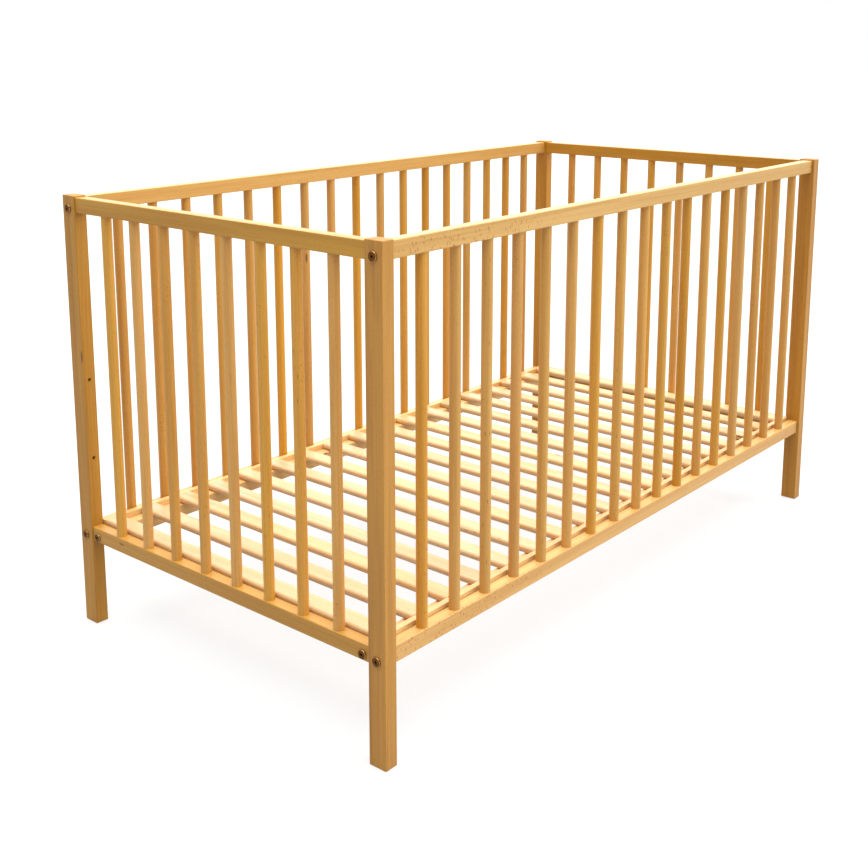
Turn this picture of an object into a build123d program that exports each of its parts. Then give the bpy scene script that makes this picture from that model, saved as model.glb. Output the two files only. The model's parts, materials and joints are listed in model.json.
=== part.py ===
"""Baby crib of solid beech for a 700 x 1400 mm mattress.

Two end panels, each a pair of legs doweled to two rails, are bolted to the front and back
sides. Every panel is filled with round bars let into its rails. A slatted base hangs
between the end panels, and can be hung at three heights.

Frame: millimetres, +Z up, +X along the crib, origin on the floor under the centre.
The front is -Y and the left end is -X.
"""

import os

from build123d import *

os.makedirs("parts", exist_ok=True)

# Overall size
MATTRESS_LENGTH = 1400
MATTRESS_WIDTH = 700
CRIB_HEIGHT = 800

# Legs, rectangular in section
LEG_X = 25
LEG_Y = 34
LEG_EDGE = 1.5

# Rails, and how far their outer faces stand back from the legs' outer faces
RAIL_THICK = 22
RAIL_TALL = 27
RAIL_EDGE = 1.5
END_RECESS = 3
SIDE_RECESS = 5.5
MATTRESS_PLAY = 2.5
BOTTOM_RAIL_Z = 163
TOP_RAIL_DROP = 3

# Round bars with a turned tenon at each end
BAR_R = 9
TENON_R = 6
TENON_LONG = 12
TENON_ROOM = 1
BAR_PITCH = 78
SIDE_BARS = 17
END_BARS = 8
GLUE_GAP = 0.1

# Slatted base
BASE_END_PLAY = 1.5
BASE_SIDE_PLAY = 1.0
BASE_RAIL_THICK = 33
BASE_RAIL_TALL = 36
BASE_PROUD = 7
LIP_THICK = 11
LIP_EDGE = 1
SLAT_COUNT = 18
SLAT_WIDE = 37
SLAT_THICK = 12
SLAT_EDGE = 5
SLAT_END_PLAY = 1

# Connector bolts, with a broad flat head and a hexagon socket
BOLT_R = 3
BOLT_LONG = 65
BASE_BOLT_LONG = 60
BOLT_PLAY = 0.3
BOLT_TIP_ROOM = 2
HEAD_R = 7.75
HEAD_THICK = 3
HEAD_EDGE = 1.2
SOCKET_WIDE = 4
SOCKET_DEEP = 1.8
BOLT_BELOW_RAIL_MIDDLE = {"bottom": 3.5, "top": 6.5}
BASE_BOLT_INSET = 19.5

# Barrel nuts that the bolts screw into, pushed up from below
NUT_R = 5
NUT_LONG = 12
NUT_PLAY = 0.3
NUT_SETBACK = 35
BASE_NUT_SETBACK = 28
NUT_SLOT_WIDE = 1.2
NUT_SLOT_DEEP = 1.5

# Wooden dowels
DOWEL_R = 4
DOWEL_IN_LEG = 12
DOWEL_IN_RAIL = 18
DOWEL_EDGE = 0.8
DOWEL_OFF_MIDDLE = 6.5

# Base heights and the leg holes for the two upper ones
LEVEL_STEP = 147
LEVEL_HOLE_R = 3.25
LEVEL_HOLE_DEEP = 22

# Countersunk slat screws, set in from the base's inner edge
SCREW_R = 1.75
SCREW_HEAD_R = 3.5
SCREW_HEAD_ANGLE = 90
SCREW_LONG = 30
SCREW_TIP_ROOM = 1
SCREW_EDGE_SPACE = 5.5

# Places worked out from the sizes above
half_length = MATTRESS_LENGTH / 2 + LEG_X
half_width = MATTRESS_WIDTH / 2 + MATTRESS_PLAY + RAIL_THICK + SIDE_RECESS
leg_inner_x = half_length - LEG_X
leg_inner_y = half_width - LEG_Y
end_rail_x = half_length - END_RECESS - RAIL_THICK / 2
side_rail_y = half_width - SIDE_RECESS - RAIL_THICK / 2
top_rail_z = CRIB_HEIGHT - TOP_RAIL_DROP - RAIL_TALL
rail_bottoms = {"bottom": BOTTOM_RAIL_Z, "top": top_rail_z}
rail_middles = [z + RAIL_TALL / 2 for z in rail_bottoms.values()]
bolt_levels = [z - drop for z, drop in zip(rail_middles, BOLT_BELOW_RAIL_MIDDLE.values())]
bar_foot_z = BOTTOM_RAIL_Z + RAIL_TALL
bar_long = top_rail_z - bar_foot_z
base_top_z = bar_foot_z + BASE_PROUD
base_bottom_z = base_top_z - BASE_RAIL_TALL
base_half_length = leg_inner_x - BASE_END_PLAY
base_outer_y = side_rail_y - RAIL_THICK / 2 - BASE_SIDE_PLAY
base_inner_y = base_outer_y - BASE_RAIL_THICK
base_bolt_y = base_outer_y - BASE_BOLT_INSET
lip_inner_y = base_outer_y - LIP_THICK
ledge_z = base_top_z - SLAT_THICK
slat_long = 2 * (lip_inner_y - SLAT_END_PLAY)
base_bolt_z = bolt_levels[0]
base_nut_x = base_half_length - BASE_NUT_SETBACK
screw_y = base_inner_y + SCREW_EDGE_SPACE
screw_tip_z = base_bottom_z + SCREW_LONG

ENDS = {"left": -1, "right": 1}
SIDES = {"front": -1, "back": 1}

# Heights of the dowels between legs and end rails: two at each top joint, and one at each
# bottom joint, where the base's bolt takes the lower place.
end_dowel_zs = {
    "bottom": [rail_middles[0] + DOWEL_OFF_MIDDLE],
    "top": [rail_middles[1] + DOWEL_OFF_MIDDLE, rail_middles[1] - DOWEL_OFF_MIDDLE],
}
side_dowel_zs = [z + DOWEL_OFF_MIDDLE for z in rail_middles]


def centred(count, pitch):
    """Evenly spaced places either side of zero."""
    return [(i - (count - 1) / 2) * pitch for i in range(count)]


side_bar_xs = centred(SIDE_BARS, BAR_PITCH)
end_bar_ys = centred(END_BARS, BAR_PITCH)
slat_pitch = (2 * base_half_length - SLAT_WIDE) / (SLAT_COUNT - 1)
slat_xs = centred(SLAT_COUNT, slat_pitch)


def finish(builder, name):
    """Label a finished piece and write it."""
    builder.part.label = name
    export_step(builder.part, f"parts/{name}.step")


def facing(points, direction):
    """Planes at the given points that all face one way, for Hole to cut into."""
    return [Plane(origin=point, z_dir=direction) for point in points]


# Legs: bored for the side bolts, the locating dowels, the end rails' dowels and, on the
# face that looks across the crib, for the two upper base heights.
def make_leg(name, end, side):
    bolt_y = side * side_rail_y
    dowel_x = end * end_rail_x
    outer_x, inner_x = end * half_length, end * leg_inner_x
    inner_y = side * leg_inner_y
    with BuildPart() as leg:
        with BuildSketch(Plane.XY):
            with Locations((end * (half_length - LEG_X / 2), side * (half_width - LEG_Y / 2))):
                Rectangle(LEG_X, LEG_Y)
        extrude(amount=CRIB_HEIGHT)
        fillet(leg.edges(), radius=LEG_EDGE)
        with Locations(*facing([(outer_x, bolt_y, z) for z in bolt_levels], (end, 0, 0))):
            Hole(BOLT_R + BOLT_PLAY, depth=LEG_X)
        pegs = [(inner_x, bolt_y, z) for z in side_dowel_zs]
        with Locations(*facing(pegs, (-end, 0, 0))):
            Hole(DOWEL_R + GLUE_GAP, depth=DOWEL_IN_LEG)
        pegs = [(dowel_x, inner_y, z) for zs in end_dowel_zs.values() for z in zs]
        with Locations(*facing(pegs, (0, -side, 0))):
            Hole(DOWEL_R + GLUE_GAP, depth=DOWEL_IN_LEG)
        levels = [base_bolt_z + LEVEL_STEP * step for step in (1, 2)]
        level_x = end * (half_length - LEG_X / 2)
        with Locations(*facing([(level_x, inner_y, z) for z in levels], (0, -side, 0))):
            Hole(LEVEL_HOLE_R, depth=LEVEL_HOLE_DEEP)
    finish(leg, name)


for side_name, side in SIDES.items():
    for end_name, end in ENDS.items():
        make_leg(f"{side_name}_{end_name}_leg", end, side)


# Side rails, front and back: bored for the bars, and at each end for a bolt, its barrel
# nut and a locating dowel.
def make_side_rail(name, side, which):
    y = side * side_rail_y
    low_z = rail_bottoms[which]
    bolt_z = low_z + RAIL_TALL / 2 - BOLT_BELOW_RAIL_MIDDLE[which]
    with BuildPart() as rail:
        with BuildSketch(Plane.YZ.offset(-leg_inner_x)):
            with Locations((y, low_z + RAIL_TALL / 2)):
                RectangleRounded(RAIL_THICK, RAIL_TALL, RAIL_EDGE)
        extrude(amount=2 * leg_inner_x)
        bar_face = top_rail_z if which == "top" else bar_foot_z
        bar_way = -1 if which == "top" else 1
        with Locations(*facing([(x, y, bar_face) for x in side_bar_xs], (0, 0, bar_way))):
            Hole(TENON_R + GLUE_GAP, depth=TENON_LONG + TENON_ROOM)
        for end in ENDS.values():
            with Locations(*facing([(end * leg_inner_x, y, bolt_z)], (end, 0, 0))):
                Hole(BOLT_R + BOLT_PLAY, depth=BOLT_LONG - LEG_X + BOLT_TIP_ROOM)
            peg = (end * leg_inner_x, y, low_z + RAIL_TALL / 2 + DOWEL_OFF_MIDDLE)
            with Locations(*facing([peg], (end, 0, 0))):
                Hole(DOWEL_R + GLUE_GAP, depth=DOWEL_IN_RAIL)
            nut = (end * (leg_inner_x - NUT_SETBACK), y, low_z)
            with Locations(*facing([nut], (0, 0, -1))):
                Hole(NUT_R + NUT_PLAY, depth=bolt_z - low_z + NUT_LONG / 2)
    finish(rail, name)


# End rails, left and right: bored for the bars and the dowels into the legs. The lower
# ones also carry the bolts that hold the base.
def make_end_rail(name, end, which):
    x = end * end_rail_x
    low_z = rail_bottoms[which]
    with BuildPart() as rail:
        with BuildSketch(Plane.XZ.offset(-leg_inner_y)):
            with Locations((x, low_z + RAIL_TALL / 2)):
                RectangleRounded(RAIL_THICK, RAIL_TALL, RAIL_EDGE)
        extrude(amount=2 * leg_inner_y)
        bar_face = top_rail_z if which == "top" else bar_foot_z
        bar_way = -1 if which == "top" else 1
        with Locations(*facing([(x, y, bar_face) for y in end_bar_ys], (0, 0, bar_way))):
            Hole(TENON_R + GLUE_GAP, depth=TENON_LONG + TENON_ROOM)
        for side in SIDES.values():
            pegs = [(x, side * leg_inner_y, z) for z in end_dowel_zs[which]]
            with Locations(*facing(pegs, (0, side, 0))):
                Hole(DOWEL_R + GLUE_GAP, depth=DOWEL_IN_RAIL)
        if which == "bottom":
            face_x = end * (half_length - END_RECESS)
            bolts = [(face_x, side * base_bolt_y, base_bolt_z) for side in SIDES.values()]
            with Locations(*facing(bolts, (end, 0, 0))):
                Hole(BOLT_R + BOLT_PLAY, depth=RAIL_THICK)
    finish(rail, name)


for which in rail_bottoms:
    for side_name, side in SIDES.items():
        make_side_rail(f"{side_name}_{which}_rail", side, which)
    for end_name, end in ENDS.items():
        make_end_rail(f"{end_name}_{which}_rail", end, which)


# Bars: a plain round shaft between the rails, with a thinner tenon inside each rail.
def make_bars(name, places):
    with BuildPart() as bars:
        with BuildSketch(Plane.XY.offset(bar_foot_z)):
            with Locations(*places):
                Circle(BAR_R)
        extrude(amount=bar_long)
        with BuildSketch(Plane.XY.offset(bar_foot_z - TENON_LONG)):
            with Locations(*places):
                Circle(TENON_R)
        extrude(amount=bar_long + 2 * TENON_LONG)
    finish(bars, name)


for side_name, side in SIDES.items():
    make_bars(f"{side_name}_bars", [(x, side * side_rail_y) for x in side_bar_xs])
for end_name, end in ENDS.items():
    for number, y in enumerate(end_bar_ys, 1):
        make_bars(f"{end_name}_bar_{number}", [(end * end_rail_x, y)])


# Base side rails: an L section whose lip closes the slats' ends. Each end has a slot for
# the bolt and a bore for its barrel nut, both open below, so that the base lifts off.
def make_base_rail(name, side):
    outer, lip = side * base_outer_y, side * lip_inner_y
    inner = side * base_inner_y
    with BuildPart() as rail:
        with BuildSketch(Plane.YZ.offset(-base_half_length)):
            with BuildLine():
                Polyline(
                    (outer, base_bottom_z),
                    (outer, base_top_z),
                    (lip, base_top_z),
                    (lip, ledge_z),
                    (inner, ledge_z),
                    (inner, base_bottom_z),
                    close=True,
                )
            make_face()
        extrude(amount=2 * base_half_length)
        long_edges = rail.edges().filter_by(Axis.X)
        fillet(long_edges.group_by(Axis.Z)[-1] + long_edges.group_by(Axis.Z)[0], radius=LIP_EDGE)
        slot_long = BASE_BOLT_LONG - RAIL_THICK - BASE_END_PLAY + BOLT_TIP_ROOM
        slot_top = base_bolt_z + BOLT_R + BOLT_PLAY
        for end in ENDS.values():
            with BuildSketch(Plane.XY.offset(base_bottom_z)):
                with Locations((end * (base_half_length - slot_long / 2), side * base_bolt_y)):
                    Rectangle(slot_long, 2 * (BOLT_R + BOLT_PLAY))
            extrude(amount=slot_top - base_bottom_z, mode=Mode.SUBTRACT)
            nut = (end * base_nut_x, side * base_bolt_y, base_bottom_z)
            with Locations(*facing([nut], (0, 0, -1))):
                Hole(NUT_R + NUT_PLAY, depth=base_bolt_z - base_bottom_z + NUT_LONG / 2)
        screws = [(x, side * screw_y, base_bottom_z) for x in slat_xs]
        with Locations(*facing(screws, (0, 0, -1))):
            CounterSinkHole(
                SCREW_R + GLUE_GAP,
                SCREW_HEAD_R + GLUE_GAP,
                depth=BASE_RAIL_TALL,
                counter_sink_angle=SCREW_HEAD_ANGLE,
            )
    finish(rail, name)


for side_name, side in SIDES.items():
    make_base_rail(f"base_{side_name}_rail", side)


# Slats, with rounded long edges, each held by a screw from below at both ends.
def make_slat(name, x):
    with BuildPart() as slat:
        with BuildSketch(Plane.XZ.offset(-slat_long / 2)):
            with Locations((x, base_top_z - SLAT_THICK / 2)):
                RectangleRounded(SLAT_WIDE, SLAT_THICK, SLAT_EDGE)
        extrude(amount=slat_long)
        pilots = [(x, side * screw_y, ledge_z) for side in SIDES.values()]
        with Locations(*facing(pilots, (0, 0, -1))):
            Hole(SCREW_R + GLUE_GAP, depth=screw_tip_z + SCREW_TIP_ROOM - ledge_z)
    finish(slat, name)


for number, x in enumerate(slat_xs, 1):
    make_slat(f"slat_{number:02d}", x)


# Fasteners. Each helper adds the same piece at every place, in the part being built, with
# its head or mouth at the given plane.
AT_FOOT = (Align.CENTER, Align.CENTER, Align.MIN)
AT_HEAD = (Align.CENTER, Align.CENTER, Align.MAX)

with BuildPart() as slat_screws:
    heads = [(x, side * screw_y, base_bottom_z) for x in slat_xs for side in SIDES.values()]
    with Locations(*heads):
        Cone(SCREW_HEAD_R, SCREW_R, SCREW_HEAD_R - SCREW_R, align=AT_FOOT)
        Cylinder(SCREW_R, SCREW_LONG, align=AT_FOOT)
finish(slat_screws, "slat_screws")


def make_bolts(name, end, seats, shank_long):
    planes = facing(seats, (end, 0, 0))
    with BuildPart() as bolts:
        with Locations(*planes):
            Cylinder(HEAD_R, HEAD_THICK, align=AT_FOOT)
        rims = bolts.edges().filter_by(GeomType.CIRCLE).group_by(Axis.X)
        fillet(rims[-1] if end > 0 else rims[0], radius=HEAD_EDGE)
        with BuildSketch(*[plane.offset(HEAD_THICK) for plane in planes]):
            RegularPolygon(SOCKET_WIDE / 2, side_count=6, major_radius=False)
        extrude(amount=-SOCKET_DEEP, mode=Mode.SUBTRACT)
        with Locations(*planes):
            Cylinder(BOLT_R, shank_long, align=AT_HEAD)
    finish(bolts, name)


for end_name, end in ENDS.items():
    leg_face, rail_face = end * half_length, end * (half_length - END_RECESS)
    leg_seats = [(leg_face, side * side_rail_y, z) for side in SIDES.values() for z in bolt_levels]
    make_bolts(f"{end_name}_panel_bolts", end, leg_seats, BOLT_LONG)
    base_seats = [(rail_face, side * base_bolt_y, base_bolt_z) for side in SIDES.values()]
    make_bolts(f"{end_name}_base_bolts", end, base_seats, BASE_BOLT_LONG)


def make_barrel_nuts(name, middles):
    feet = [(x, y, z - NUT_LONG / 2) for x, y, z in middles]
    with BuildPart() as nuts:
        with Locations(*feet):
            Cylinder(NUT_R, NUT_LONG, align=AT_FOOT)
        with Locations(*facing([(x + NUT_R, y, z) for x, y, z in middles], (1, 0, 0))):
            Hole(BOLT_R + GLUE_GAP, depth=2 * NUT_R)
        with Locations(*feet):
            Box(2 * NUT_R, NUT_SLOT_WIDE, NUT_SLOT_DEEP, align=AT_FOOT, mode=Mode.SUBTRACT)
    finish(nuts, name)


corners = [(end, side) for end in ENDS.values() for side in SIDES.values()]
rail_nut_x = leg_inner_x - NUT_SETBACK
rail_nuts = [(e * rail_nut_x, s * side_rail_y, z) for e, s in corners for z in bolt_levels]
make_barrel_nuts("side_rail_barrel_nuts", rail_nuts)
base_nuts = [(e * base_nut_x, s * base_bolt_y, base_bolt_z) for e, s in corners]
make_barrel_nuts("base_barrel_nuts", base_nuts)


def add_dowels(leg_faces, direction):
    """Dowels that cross a leg's face, most of each in the rail that the face meets."""
    with Locations(*facing(leg_faces, direction)):
        Cylinder(DOWEL_R, DOWEL_IN_RAIL, align=AT_FOOT)
        Cylinder(DOWEL_R, DOWEL_IN_LEG, align=AT_HEAD)


def soften_dowels(dowels):
    chamfer(dowels.edges().filter_by(GeomType.CIRCLE), length=DOWEL_EDGE)


with BuildPart() as side_dowels:
    for end, side in corners:
        faces = [(end * leg_inner_x, side * side_rail_y, z) for z in side_dowel_zs]
        add_dowels(faces, (-end, 0, 0))
    soften_dowels(side_dowels)
finish(side_dowels, "side_locating_dowels")

with BuildPart() as end_dowels:
    for end, side in corners:
        levels = [z for zs in end_dowel_zs.values() for z in zs]
        faces = [(end * end_rail_x, side * leg_inner_y, z) for z in levels]
        add_dowels(faces, (0, -side, 0))
    soften_dowels(end_dowels)
finish(end_dowels, "end_rail_dowels")
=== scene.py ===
"""Looks of the baby crib, built around its CAD frame.

Clear-lacquered beech whose grain runs along each piece, antique brass connector bolts,
zinc fasteners, a plain pale floor and soft studio light. Lengths are metres in the row
frame: +Z up, +X along the crib, the front is -Y and the left end is -X.
"""

import json
import math

import bpy
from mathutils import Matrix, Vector


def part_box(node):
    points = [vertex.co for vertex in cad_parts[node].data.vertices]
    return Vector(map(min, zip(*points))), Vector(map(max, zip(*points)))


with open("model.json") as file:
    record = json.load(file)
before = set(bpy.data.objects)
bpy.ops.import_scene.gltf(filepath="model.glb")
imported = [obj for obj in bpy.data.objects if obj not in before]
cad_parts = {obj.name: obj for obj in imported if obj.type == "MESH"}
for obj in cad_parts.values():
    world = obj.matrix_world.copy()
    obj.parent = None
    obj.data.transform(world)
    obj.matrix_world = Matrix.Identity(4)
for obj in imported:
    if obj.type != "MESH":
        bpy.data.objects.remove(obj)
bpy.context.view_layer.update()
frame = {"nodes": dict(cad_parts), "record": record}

# Camera, at the front left corner and a little above the top rails
CAMERA_PLACE = (-1.940, -1.499, 1.079)
CAMERA_HEADING = 40.18
CAMERA_TILT = -10.9
CAMERA_LENS = 51.0
CAMERA_SHIFT_Y = -0.19

# Studio. The floor glows more to the camera than in the light it gives, so that it looks
# white under the object without lighting the object's underside too much.
FLOOR_SIZE = 60.0
FLOOR_TONE = (0.22, 0.22, 0.217)
FLOOR_GLOW = 0.68
FLOOR_LIGHT = 0.28
SKY_TONE = (1.0, 0.975, 0.92)
SKY_STRENGTH = 0.54
BACKDROP_TONE = (1.0, 1.0, 1.0)

# Lamps: the way they shine, their width in degrees and their strength
SUNS = {
    "overhead": ((0, 0.1, -1), 70, 5.1),
    "key": ((-0.7, 0.75, -0.45), 40, 1.4),
    "back": ((-0.76, -0.6, -0.5), 70, 1.7),
}

# The wood's patterns, each with its size across the grain and along it, in metres
RING_WIDTH = 0.0042
FIBRE_GRAIN = (0.0007, 0.018)
STREAK_GRAIN = (0.0035, 0.22)
BAND_GRAIN = (0.022, 0.55)
DRIFT_GRAIN = (0.09, 0.9)
FLECK_GRAIN = (0.0024, 0.0085)
DASH_GRAIN = (0.007, 0.03)
RAY_GRAIN = (0.011, 0.005)
RAY_PATCH_GRAIN = (0.03, 0.16)
KNOT_GRAIN = (0.05, 0.26)
PORE_SIZE = 0.0006

# Levels between which nearly all of a noise lies
NOISE_SPAN = (0.3, 0.7)

# Share of a ring over which it turns from early to late wood, and then back
RING_RISE = (0.1, 0.85)
RING_FALL = (0.9, 1.0)

# Where a mark is whole and where it ends, as distances from its middle in its own sizes
FLECK_EDGE = (0.14, 0.26)
DASH_EDGE = (0.10, 0.17)
RAY_EDGE = (0.14, 0.3)
KNOT_EDGE = (0.03, 0.055)
PLACED_KNOT_EDGE = (0.65, 1.25)
PLACED_KNOT_FRAY = 0.5
PATCH_EDGE = (0.6, 1.2)

# Noise levels between which dashes and rays come in, and how far rays do so by chance
DASH_LEVELS = (0.5, 0.7)
RAY_LEVELS = (0.58, 0.72)
RAY_MOST = 0.7

# How far apart in the tree the pieces are cut, and how many rings the slow patterns bend
CUT_SPREAD = 7
DRIFT_BEND = 9.0
BAND_BEND = 1.6

# What each pattern adds to the share of late wood
LATE_SHARE = 0.16
BAND_SHARE = 0.5
FIBRE_SHARE = 0.35
STREAK_SHARE = 1.1

# The marks on the wood: how strong each is, and its stain
FLECK_STAIN = (0.2, (0.30, 0.13, 0.035, 1))
DASH_STAIN = (0.45, (0.28, 0.12, 0.035, 1))
RAY_STAIN = (0.6, (0.40, 0.19, 0.06, 1))
KNOT_STAIN = (0.8, (0.10, 0.04, 0.012, 1))

# End grain: how squarely a face must cut the grain, the edge of its pores, how much of the
# stain it takes in the pores and between them, and how much rougher it is
END_GRAIN_FACING = (0.8, 0.95)
PORE_EDGE = (0.2, 0.5)
END_GRAIN_SHARES = (0.22, 0.05)
END_GRAIN_STAIN = (0.42, 0.24, 0.10, 1)
END_GRAIN_ROUGHER = 0.2

# How much the pieces differ: below and above the palette's own hue, saturation and value
HUE_RANGE = (0.5 - 0.004, 0.5 + 0.003)
SATURATION_RANGE = (1 - 0.07, 1 + 0.05)
VALUE_RANGE = (1 - 0.06, 1 + 0.06)

# Lacquered and bare wood: roughness, how the fibres change it, and reflection
LACQUERED = 0.34
BARE = 0.6
FIBRE_SPAN = (0.2, 0.8)
FIBRE_SMOOTHER = 0.05
FIBRE_ROUGHER = 0.08
WOOD_SPECULAR = 0.42
WOOD_IOR = 1.45

# Relief of the wood, with each pattern's part in it
WOOD_RELIEF = (0.35, 0.00012)
FIBRE_RELIEF = 0.7
FLECK_RELIEF = 0.5
LATE_RELIEF = 0.25

# Bolt heads: radius, rim worn bright with a painted highlight, painted shade in the socket, and
# the marks of patina and lathe
HEAD_RADIUS = 0.00775
RIM_RADII = (0.0064, 0.0074)
RIM_WEAR_AND_HIGHLIGHT = 0.6
RIM_PATINA_LEVELS = (0.3, 0.6)
RIM_LEAST = 0.5
SOCKET_RADII = (0.0019, 0.0026)
SOCKET_SHADE = 0.45
PATINA_SIZE = 0.0022
PATINA_TONE_LEVELS = (0.35, 0.65)
TURNING_PITCH = 0.0004
TURNING_HEIGHT = 0.4
BRASS_RELIEF = (0.3, 0.00008)
BRASS_ROUGHNESS = (0.24, 0.42)

ZINC_CLOUD_SIZE = 0.003
ZINC_RELIEF = (0.2, 0.00005)
ZINC_ROUGHNESS = (0.22, 0.38)

# Early and late wood of each kind of piece, and the metals, as display colours
LEG_TONES = ((188, 133, 30), (152, 99, 14))
END_RAIL_TONES = ((194, 142, 50), (168, 114, 28))
SIDE_RAIL_TONES = ((212, 166, 92), (188, 137, 60))
BAR_TONES = ((204, 152, 70), (180, 124, 42))
BASE_TONES = ((220, 182, 120), (198, 150, 84))
SLAT_TONES = ((218, 180, 132), (192, 144, 92))
BRASS_TONES = ((92, 56, 20), (126, 82, 34))
BRASS_RIM_WEAR_AND_HIGHLIGHT_TONE = (222, 184, 126)
BRASS_SOCKET_PAINTED_SHADE_TONE = (60, 36, 16)
ZINC_TONES = ((176, 178, 180), (214, 214, 210))

# Cells of the grids that tell pieces apart: larger than the crib, and one that parts the
# bottom rails from the top ones
WHOLE = 10
RAIL_CELL = 0.5

# The dark mark in the left bottom rail's outer face
MARK_FROM_MIDDLE = 0.26
MARK_BELOW_TOP = 0.010
MARK_SIZE = (0.004, 0.010, 0.0022)

# The patch of cross flecks in each front rail's outer face
PATCH_FROM_END = 0.16
PATCH_SIZE = (0.24, 0.006, 0.03)


def colour(red, green, blue):
    """A display colour, 0 to 255, as the linear RGBA that shaders take."""
    def linear(value):
        share = value / 255
        return share / 12.92 if share <= 0.04045 else ((share + 0.055) / 1.055) ** 2.4
    return (linear(red), linear(green), linear(blue), 1.0)


class Shader:
    """One material's node tree, with a short way to add and link its nodes."""

    def __init__(self, name):
        self.material = bpy.data.materials.new(name)
        self.material.use_nodes = True
        self.tree = self.material.node_tree
        self.tree.nodes.clear()

    def add(self, kind, inputs=(), **settings):
        """A new node. inputs maps its sockets' names or numbers to values or to outputs."""
        node = self.tree.nodes.new(kind)
        for name, value in settings.items():
            setattr(node, name, value)
        for key, value in dict(inputs).items():
            if isinstance(value, bpy.types.NodeSocket):
                self.tree.links.new(value, node.inputs[key])
            else:
                node.inputs[key].default_value = value
        return node

    def math(self, operation, *values, clamp=False):
        node = self.add("ShaderNodeMath", enumerate(values), operation=operation, use_clamp=clamp)
        return node.outputs[0]

    def vector(self, operation, *values):
        node = self.add("ShaderNodeVectorMath", enumerate(values), operation=operation)
        return node.outputs["Value" if operation == "LENGTH" else "Vector"]

    def noise(self, place, detail=2.0, roughness=0.5):
        inputs = {"Vector": place, "Scale": 1.0, "Detail": detail, "Roughness": roughness}
        return self.add("ShaderNodeTexNoise", inputs).outputs["Fac"]

    def spots(self, place):
        """Distance to the nearest of one random point per unit cell."""
        inputs = {"Vector": place, "Scale": 1.0, "Randomness": 1.0}
        return self.add("ShaderNodeTexVoronoi", inputs).outputs["Distance"]

    def span(self, value, low, high, to_low=0.0, to_high=1.0, smooth=True):
        """value from low..high to to_low..to_high, held at the ends."""
        inputs = {
            "Value": value,
            "From Min": low,
            "From Max": high,
            "To Min": to_low,
            "To Max": to_high,
        }
        kind = "SMOOTHSTEP" if smooth else "LINEAR"
        return self.add("ShaderNodeMapRange", inputs, interpolation_type=kind).outputs["Result"]

    def fade(self, value, edge):
        """1 up to the first number of edge, 0 from the second on."""
        return self.span(value, *edge, 1.0, 0.0)

    def mix(self, share, first, second, blend="MIX"):
        inputs = {0: share, 6: first, 7: second}
        node = self.add("ShaderNodeMix", inputs, data_type="RGBA", blend_type=blend)
        return node.outputs[2]

    def stain(self, wood, share, strength, tone, blend="MULTIPLY"):
        """The wood's colour with a mark of one tone on it, where share says."""
        return self.mix(self.math("MULTIPLY", share, strength), wood, tone, blend=blend)

    def bump(self, strength, distance, height):
        inputs = {"Strength": strength, "Distance": distance, "Height": height}
        return self.add("ShaderNodeBump", inputs).outputs[0]

    def finish(self, **inputs):
        """The principled surface, with underscores for the spaces in its sockets' names."""
        sockets = {name.replace("_", " "): value for name, value in inputs.items()}
        surface = self.add("ShaderNodeBsdfPrincipled", sockets)
        self.add("ShaderNodeOutputMaterial", {"Surface": surface.outputs[0]})
        return self.material


def cell_random(shader, place, cell, shift):
    """Three random numbers for each piece: the same all over one cell of a grid."""
    grid = shader.vector("DIVIDE", place, cell)
    grid = shader.vector("ADD", grid, shift)
    grid = shader.vector("FLOOR", grid)
    noise = shader.add("ShaderNodeTexWhiteNoise", {"Vector": grid}, noise_dimensions="3D")
    return noise.outputs["Color"]


def along_grain(shader, place, axis):
    """The place with its axes in another order, so that the grain runs along the third."""
    parts = shader.add("ShaderNodeSeparateXYZ", {0: place}).outputs
    order = {"X": (1, 2, 0), "Y": (2, 0, 1), "Z": (0, 1, 2)}[axis]
    node = shader.add("ShaderNodeCombineXYZ", {i: parts[k] for i, k in enumerate(order)})
    return node.outputs[0]


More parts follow.
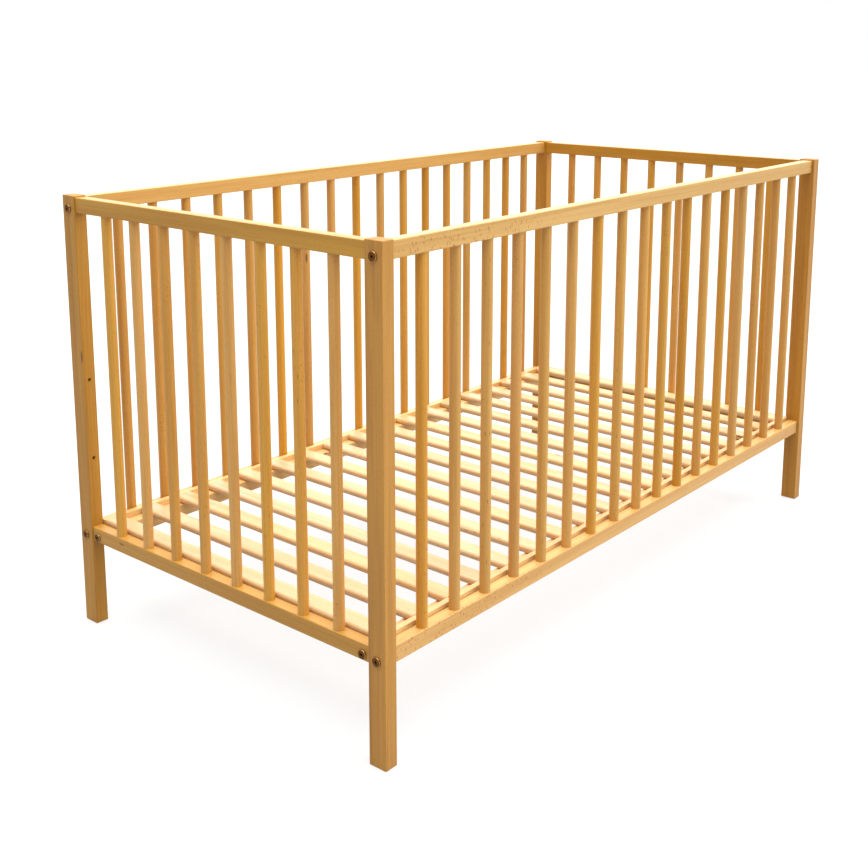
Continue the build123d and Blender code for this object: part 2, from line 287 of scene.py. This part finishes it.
def beech(name, axis, tones, cell, shift, knots=(), flecked=(), roughness=LACQUERED):
    """Beech whose grain runs along axis. tones are its early and late wood, cell and shift
    the grid whose every cell is one piece of its own tint. knots and flecked list the
    (place, size) of dark knots and of patches with dense flecks across the grain."""
    s = Shader(name)
    coordinates = s.add("ShaderNodeTexCoord").outputs
    place = coordinates["Object"]
    chance = cell_random(s, place, cell, shift)
    red, green, blue = s.add("ShaderNodeSeparateColor", {0: chance}).outputs

    # each piece is cut from its own place in the tree
    spread = s.vector("MULTIPLY", chance, (CUT_SPREAD,) * 3)
    cut = s.vector("ADD", along_grain(s, place, axis), spread)

    def stretched(grain):
        wide, long = grain
        return s.vector("DIVIDE", cut, (wide, wide, long))

    def away(point, size):
        """Distance from point, where 1 is size away."""
        return s.vector("LENGTH", s.vector("DIVIDE", s.vector("SUBTRACT", place, point), size))

    bands = s.noise(stretched(BAND_GRAIN), detail=3.0)
    drift = s.noise(stretched(DRIFT_GRAIN))
    fibres = s.noise(stretched(FIBRE_GRAIN), detail=3.0, roughness=0.6)
    streaks = s.noise(stretched(STREAK_GRAIN), detail=3.0, roughness=0.6)

    # growth rings: planes at a random angle, warped along the length
    angle = s.math("MULTIPLY", red, math.pi)
    across = s.add("ShaderNodeSeparateXYZ", {0: cut}).outputs
    first = s.math("MULTIPLY", across[0], s.math("COSINE", angle))
    second = s.math("MULTIPLY", across[1], s.math("SINE", angle))
    depth = s.math("DIVIDE", s.math("ADD", first, second), RING_WIDTH)
    depth = s.math("ADD", depth, s.math("MULTIPLY", drift, DRIFT_BEND))
    depth = s.math("ADD", depth, s.math("MULTIPLY", bands, BAND_BEND))
    ring = s.math("FRACT", depth)
    late = s.math("MULTIPLY", s.span(ring, *RING_RISE), s.fade(ring, RING_FALL))

    # small flecks all over, longer dashes here and there, and rays across the grain
    flecks = s.fade(s.spots(stretched(FLECK_GRAIN)), FLECK_EDGE)
    dashes = s.fade(s.spots(stretched(DASH_GRAIN)), DASH_EDGE)
    dashes = s.math("MULTIPLY", dashes, s.span(drift, *DASH_LEVELS))
    rays = s.fade(s.spots(stretched(RAY_GRAIN)), RAY_EDGE)
    rays_here = s.span(s.noise(stretched(RAY_PATCH_GRAIN)), *RAY_LEVELS, 0.0, RAY_MOST)
    for point, size in flecked:
        rays_here = s.math("MAXIMUM", rays_here, s.fade(away(point, size), PATCH_EDGE))
    rays = s.math("MULTIPLY", rays, rays_here)

    # knots, scattered and placed, the placed ones with frayed edges
    knot = s.fade(s.spots(stretched(KNOT_GRAIN)), KNOT_EDGE)
    for point, size in knots:
        fray = s.math("MULTIPLY", fibres, PLACED_KNOT_FRAY)
        near = s.math("ADD", away(point, size), fray)
        knot = s.math("MAXIMUM", knot, s.fade(near, PLACED_KNOT_EDGE))

    even_fibres = s.math("SUBTRACT", fibres, 0.5)
    even_streaks = s.math("SUBTRACT", streaks, 0.5)
    tone = s.math("MULTIPLY", late, LATE_SHARE)
    tone = s.math("ADD", tone, s.math("MULTIPLY", s.span(bands, *NOISE_SPAN), BAND_SHARE))
    tone = s.math("ADD", tone, s.math("MULTIPLY", even_fibres, FIBRE_SHARE))
    tone = s.math("ADD", tone, s.math("MULTIPLY", even_streaks, STREAK_SHARE), clamp=True)
    early_wood, late_wood = (colour(*shade) for shade in tones)
    wood = s.mix(tone, early_wood, late_wood)
    wood = s.stain(wood, flecks, *FLECK_STAIN)
    wood = s.stain(wood, dashes, *DASH_STAIN)
    wood = s.stain(wood, rays, *RAY_STAIN)
    wood = s.stain(wood, knot, *KNOT_STAIN, blend="MIX")

    tint = {
        "Hue": s.span(green, 0.0, 1.0, *HUE_RANGE, smooth=False),
        "Saturation": s.span(red, 0.0, 1.0, *SATURATION_RANGE, smooth=False),
        "Value": s.span(blue, 0.0, 1.0, *VALUE_RANGE, smooth=False),
        "Color": wood,
    }
    wood = s.add("ShaderNodeHueSaturation", tint).outputs[0]

    # end grain is a little darker and rougher, most of all in its pores
    normal = s.add("ShaderNodeSeparateXYZ", {0: coordinates["Normal"]}).outputs
    end_grain = s.span(s.math("ABSOLUTE", normal["XYZ".index(axis)]), *END_GRAIN_FACING)
    pores = s.span(s.spots(s.vector("DIVIDE", cut, (PORE_SIZE,) * 3)), *PORE_EDGE)
    end_share = s.math("MULTIPLY", end_grain, s.span(pores, 0.0, 1.0, *END_GRAIN_SHARES))
    wood = s.mix(end_share, wood, END_GRAIN_STAIN, blend="MULTIPLY")

    height = s.math("MULTIPLY", fibres, FIBRE_RELIEF)
    height = s.math("SUBTRACT", height, s.math("MULTIPLY", flecks, FLECK_RELIEF))
    height = s.math("ADD", height, s.math("MULTIPLY", late, LATE_RELIEF))
    fibre_roughness = (roughness - FIBRE_SMOOTHER, roughness + FIBRE_ROUGHER)
    rough = s.span(fibres, *FIBRE_SPAN, *fibre_roughness)
    rough = s.math("ADD", rough, s.math("MULTIPLY", end_grain, END_GRAIN_ROUGHER))
    return s.finish(
        Base_Color=wood,
        Roughness=rough,
        Specular_IOR_Level=WOOD_SPECULAR,
        IOR=WOOD_IOR,
        Normal=s.bump(*WOOD_RELIEF, height),
    )


def antique_brass(name, centre_y, low_z, high_z):
    """Antique brass bolt heads, turned, with painted shade in the socket and a bright rim that is
    part wear, part painted highlight.
    Their axes lie along X, at centre_y either side and at the heights low_z and high_z."""
    s = Shader(name)
    place = s.add("ShaderNodeTexCoord").outputs["Object"]
    _, y, z = s.add("ShaderNodeSeparateXYZ", {0: place}).outputs
    off_y = s.math("SUBTRACT", s.math("ABSOLUTE", y), centre_y)
    from_middle = s.math("ABSOLUTE", s.math("SUBTRACT", z, (low_z + high_z) / 2))
    off_z = s.math("SUBTRACT", from_middle, (high_z - low_z) / 2)
    spot = s.add("ShaderNodeCombineXYZ", {0: off_y, 1: off_z}).outputs[0]
    radius = s.vector("LENGTH", spot)
    patina = s.noise(s.vector("DIVIDE", place, (PATINA_SIZE,) * 3), detail=4.0)
    # the rim is painted brighter all round: part wear, part painted highlight
    rim_wear_and_highlight = s.span(radius, *RIM_RADII)
    rim_wear_and_highlight = s.math("MULTIPLY", rim_wear_and_highlight, s.span(patina, *RIM_PATINA_LEVELS, RIM_LEAST, 1.0))
    dark, bright = (colour(*shade) for shade in BRASS_TONES)
    metal = s.mix(s.span(patina, *PATINA_TONE_LEVELS), dark, bright)
    metal = s.mix(s.math("MULTIPLY", rim_wear_and_highlight, RIM_WEAR_AND_HIGHLIGHT), metal, colour(*BRASS_RIM_WEAR_AND_HIGHLIGHT_TONE))
    # painted shade: the socket's recess is darkened in the colour
    socket_painted_shade = s.span(radius, *SOCKET_RADII, SOCKET_SHADE, 0.0)
    metal = s.mix(socket_painted_shade, metal, colour(*BRASS_SOCKET_PAINTED_SHADE_TONE))
    turning = s.math("SINE", s.math("MULTIPLY", radius, 2 * math.pi / TURNING_PITCH))
    height = s.math("ADD", s.math("MULTIPLY", turning, TURNING_HEIGHT), patina)
    rough = s.span(patina, *NOISE_SPAN, *BRASS_ROUGHNESS)
    relief = s.bump(*BRASS_RELIEF, height)
    return s.finish(Base_Color=metal, Metallic=1.0, Roughness=rough, Normal=relief)


def zinc(name):
    """Bright zinc plating with its faint crystal cloud."""
    s = Shader(name)
    place = s.add("ShaderNodeTexCoord").outputs["Object"]
    cloud = s.noise(s.vector("DIVIDE", place, (ZINC_CLOUD_SIZE,) * 3), detail=3.0)
    metal = s.mix(cloud, *(colour(*shade) for shade in ZINC_TONES))
    rough = s.span(cloud, *NOISE_SPAN, *ZINC_ROUGHNESS)
    relief = s.bump(*ZINC_RELIEF, cloud)
    return s.finish(Base_Color=metal, Metallic=1.0, Roughness=rough, Normal=relief)


def middle(node):
    low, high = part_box(node)
    return (low + high) / 2


# The grids that tell pieces apart: one cell per bar, slat, leg or rail
bar_pitch = middle("left_bar_2").y - middle("left_bar_1").y
slat_pitch = middle("slat_02").x - middle("slat_01").x
bar_grid = {"cell": (bar_pitch, bar_pitch, WHOLE), "shift": (0.5, 0, 0.5)}
slat_grid = {"cell": (slat_pitch, WHOLE, WHOLE), "shift": (0, 0.5, 0.5)}
side_rail_grid = {"cell": (WHOLE, WHOLE, RAIL_CELL), "shift": (0.5, 0, 0)}
end_rail_grid = {"cell": (WHOLE, WHOLE, RAIL_CELL), "shift": (0, 0.5, 0)}
leg_grid = {"cell": (WHOLE, WHOLE, WHOLE), "shift": (0, 0, 0)}

left_rail_low, left_rail_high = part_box("left_bottom_rail")
mark_place = (left_rail_low.x, MARK_FROM_MIDDLE, left_rail_high.z - MARK_BELOW_TOP)

flecked = []
for rail in ("front_top_rail", "front_bottom_rail"):
    rail_low, rail_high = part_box(rail)
    patch_place = (rail_low.x + PATCH_FROM_END, rail_low.y, (rail_low.z + rail_high.z) / 2)
    flecked.append((patch_place, PATCH_SIZE))

end_rail_marks = {**end_rail_grid, "knots": [(mark_place, MARK_SIZE)]}
side_rail_marks = {**side_rail_grid, "flecked": flecked}
dowel_grid = {**leg_grid, "roughness": BARE}

looks = {
    "leg_beech Z": beech("leg_beech", "Z", LEG_TONES, **leg_grid),
    "rail_beech X": beech("side_rail_beech", "X", SIDE_RAIL_TONES, **side_rail_marks),
    "rail_beech Y": beech("end_rail_beech", "Y", END_RAIL_TONES, **end_rail_marks),
    "bar_beech Z": beech("bar_beech", "Z", BAR_TONES, **bar_grid),
    "base_beech X": beech("base_beech", "X", BASE_TONES, **side_rail_grid),
    "slat_beech Y": beech("slat_beech", "Y", SLAT_TONES, **slat_grid),
    "dowel_beech X": beech("side_dowel_beech", "X", SLAT_TONES, **dowel_grid),
    "dowel_beech Y": beech("end_dowel_beech", "Y", SLAT_TONES, **dowel_grid),
    "zinc_steel": zinc("zinc_steel"),
}
low_bolt_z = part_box("left_panel_bolts")[0].z + HEAD_RADIUS
high_bolt_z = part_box("left_panel_bolts")[1].z - HEAD_RADIUS
panel_bolt_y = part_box("left_panel_bolts")[1].y - HEAD_RADIUS
base_bolt_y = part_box("left_base_bolts")[1].y - HEAD_RADIUS
looks["panel bolts"] = antique_brass("panel_bolt_brass", panel_bolt_y, low_bolt_z, high_bolt_z)
looks["base bolts"] = antique_brass("base_bolt_brass", base_bolt_y, low_bolt_z, low_bolt_z)


def look_of(node, slot):
    """The name in looks of a CAD node's material."""
    if slot == "antique_brass":
        return "base bolts" if "base" in node else "panel bolts"
    if slot == "zinc_steel":
        return slot
    if slot in ("leg_beech", "bar_beech"):
        return f"{slot} Z"
    if slot == "dowel_beech":
        return f"{slot} X" if "side" in node else f"{slot} Y"
    low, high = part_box(node)
    size = high - low
    return f"{slot} X" if size.x > size.y else f"{slot} Y"


for part in frame["record"]["subparts"]:
    piece = frame["nodes"][part["node"]]
    piece.data.materials.clear()
    piece.data.materials.append(looks[look_of(part["node"], part["material_slot"])])


def make_floor():
    half = FLOOR_SIZE / 2
    mesh = bpy.data.meshes.new("floor")
    corners = [(-half, -half, 0), (half, -half, 0), (half, half, 0), (-half, half, 0)]
    mesh.from_pydata(corners, [], [(0, 1, 2, 3)])
    floor = bpy.data.objects.new("floor", mesh)
    bpy.context.scene.collection.objects.link(floor)
    s = Shader("pale_floor")
    surface = {"Base_Color": (*FLOOR_TONE, 1), "Roughness": 0.9, "Specular_IOR_Level": 0.1}
    seen = s.add("ShaderNodeLightPath").outputs["Is Camera Ray"]
    strength = s.span(seen, 0.0, 1.0, FLOOR_LIGHT, FLOOR_GLOW, smooth=False)
    glow = {"Emission_Color": (1, 1, 1, 1), "Emission_Strength": strength}
    mesh.materials.append(s.finish(**surface, **glow))


def make_sky():
    """Even soft light from all round, behind which the camera sees a white backdrop."""
    world = bpy.data.worlds.new("studio")
    bpy.context.scene.world = world
    world.use_nodes = True
    nodes, links = world.node_tree.nodes, world.node_tree.links
    nodes.clear()
    seen = nodes.new("ShaderNodeLightPath").outputs["Is Camera Ray"]
    light, backdrop = nodes.new("ShaderNodeBackground"), nodes.new("ShaderNodeBackground")
    light.inputs["Color"].default_value = (*SKY_TONE, 1)
    light.inputs["Strength"].default_value = SKY_STRENGTH
    backdrop.inputs["Color"].default_value = (*BACKDROP_TONE, 1)
    both, output = nodes.new("ShaderNodeMixShader"), nodes.new("ShaderNodeOutputWorld")
    links.new(seen, both.inputs[0])
    links.new(light.outputs[0], both.inputs[1])
    links.new(backdrop.outputs[0], both.inputs[2])
    links.new(both.outputs[0], output.inputs["Surface"])


def make_sun(name, direction, softness, strength):
    """A broad, distant lamp that shines along direction. softness is its width in degrees."""
    lamp = bpy.data.lights.new(name, "SUN")
    lamp.angle = math.radians(softness)
    lamp.energy = strength
    sun = bpy.data.objects.new(name, lamp)
    bpy.context.scene.collection.objects.link(sun)
    sun.rotation_euler = Vector(direction).to_track_quat("-Z", "Y").to_euler()


def make_camera():
    lens = bpy.data.cameras.new("camera")
    lens.lens = CAMERA_LENS
    lens.shift_y = CAMERA_SHIFT_Y
    camera = bpy.data.objects.new("camera", lens)
    bpy.context.scene.collection.objects.link(camera)
    camera.location = CAMERA_PLACE
    tilt, heading = math.radians(90 + CAMERA_TILT), math.radians(CAMERA_HEADING - 90)
    camera.rotation_euler = (tilt, 0, heading)
    bpy.context.scene.camera = camera


make_floor()
make_sky()
for sun_name, settings in SUNS.items():
    make_sun(sun_name, *settings)
make_camera()
bpy.context.scene.view_settings.view_transform = "Standard"
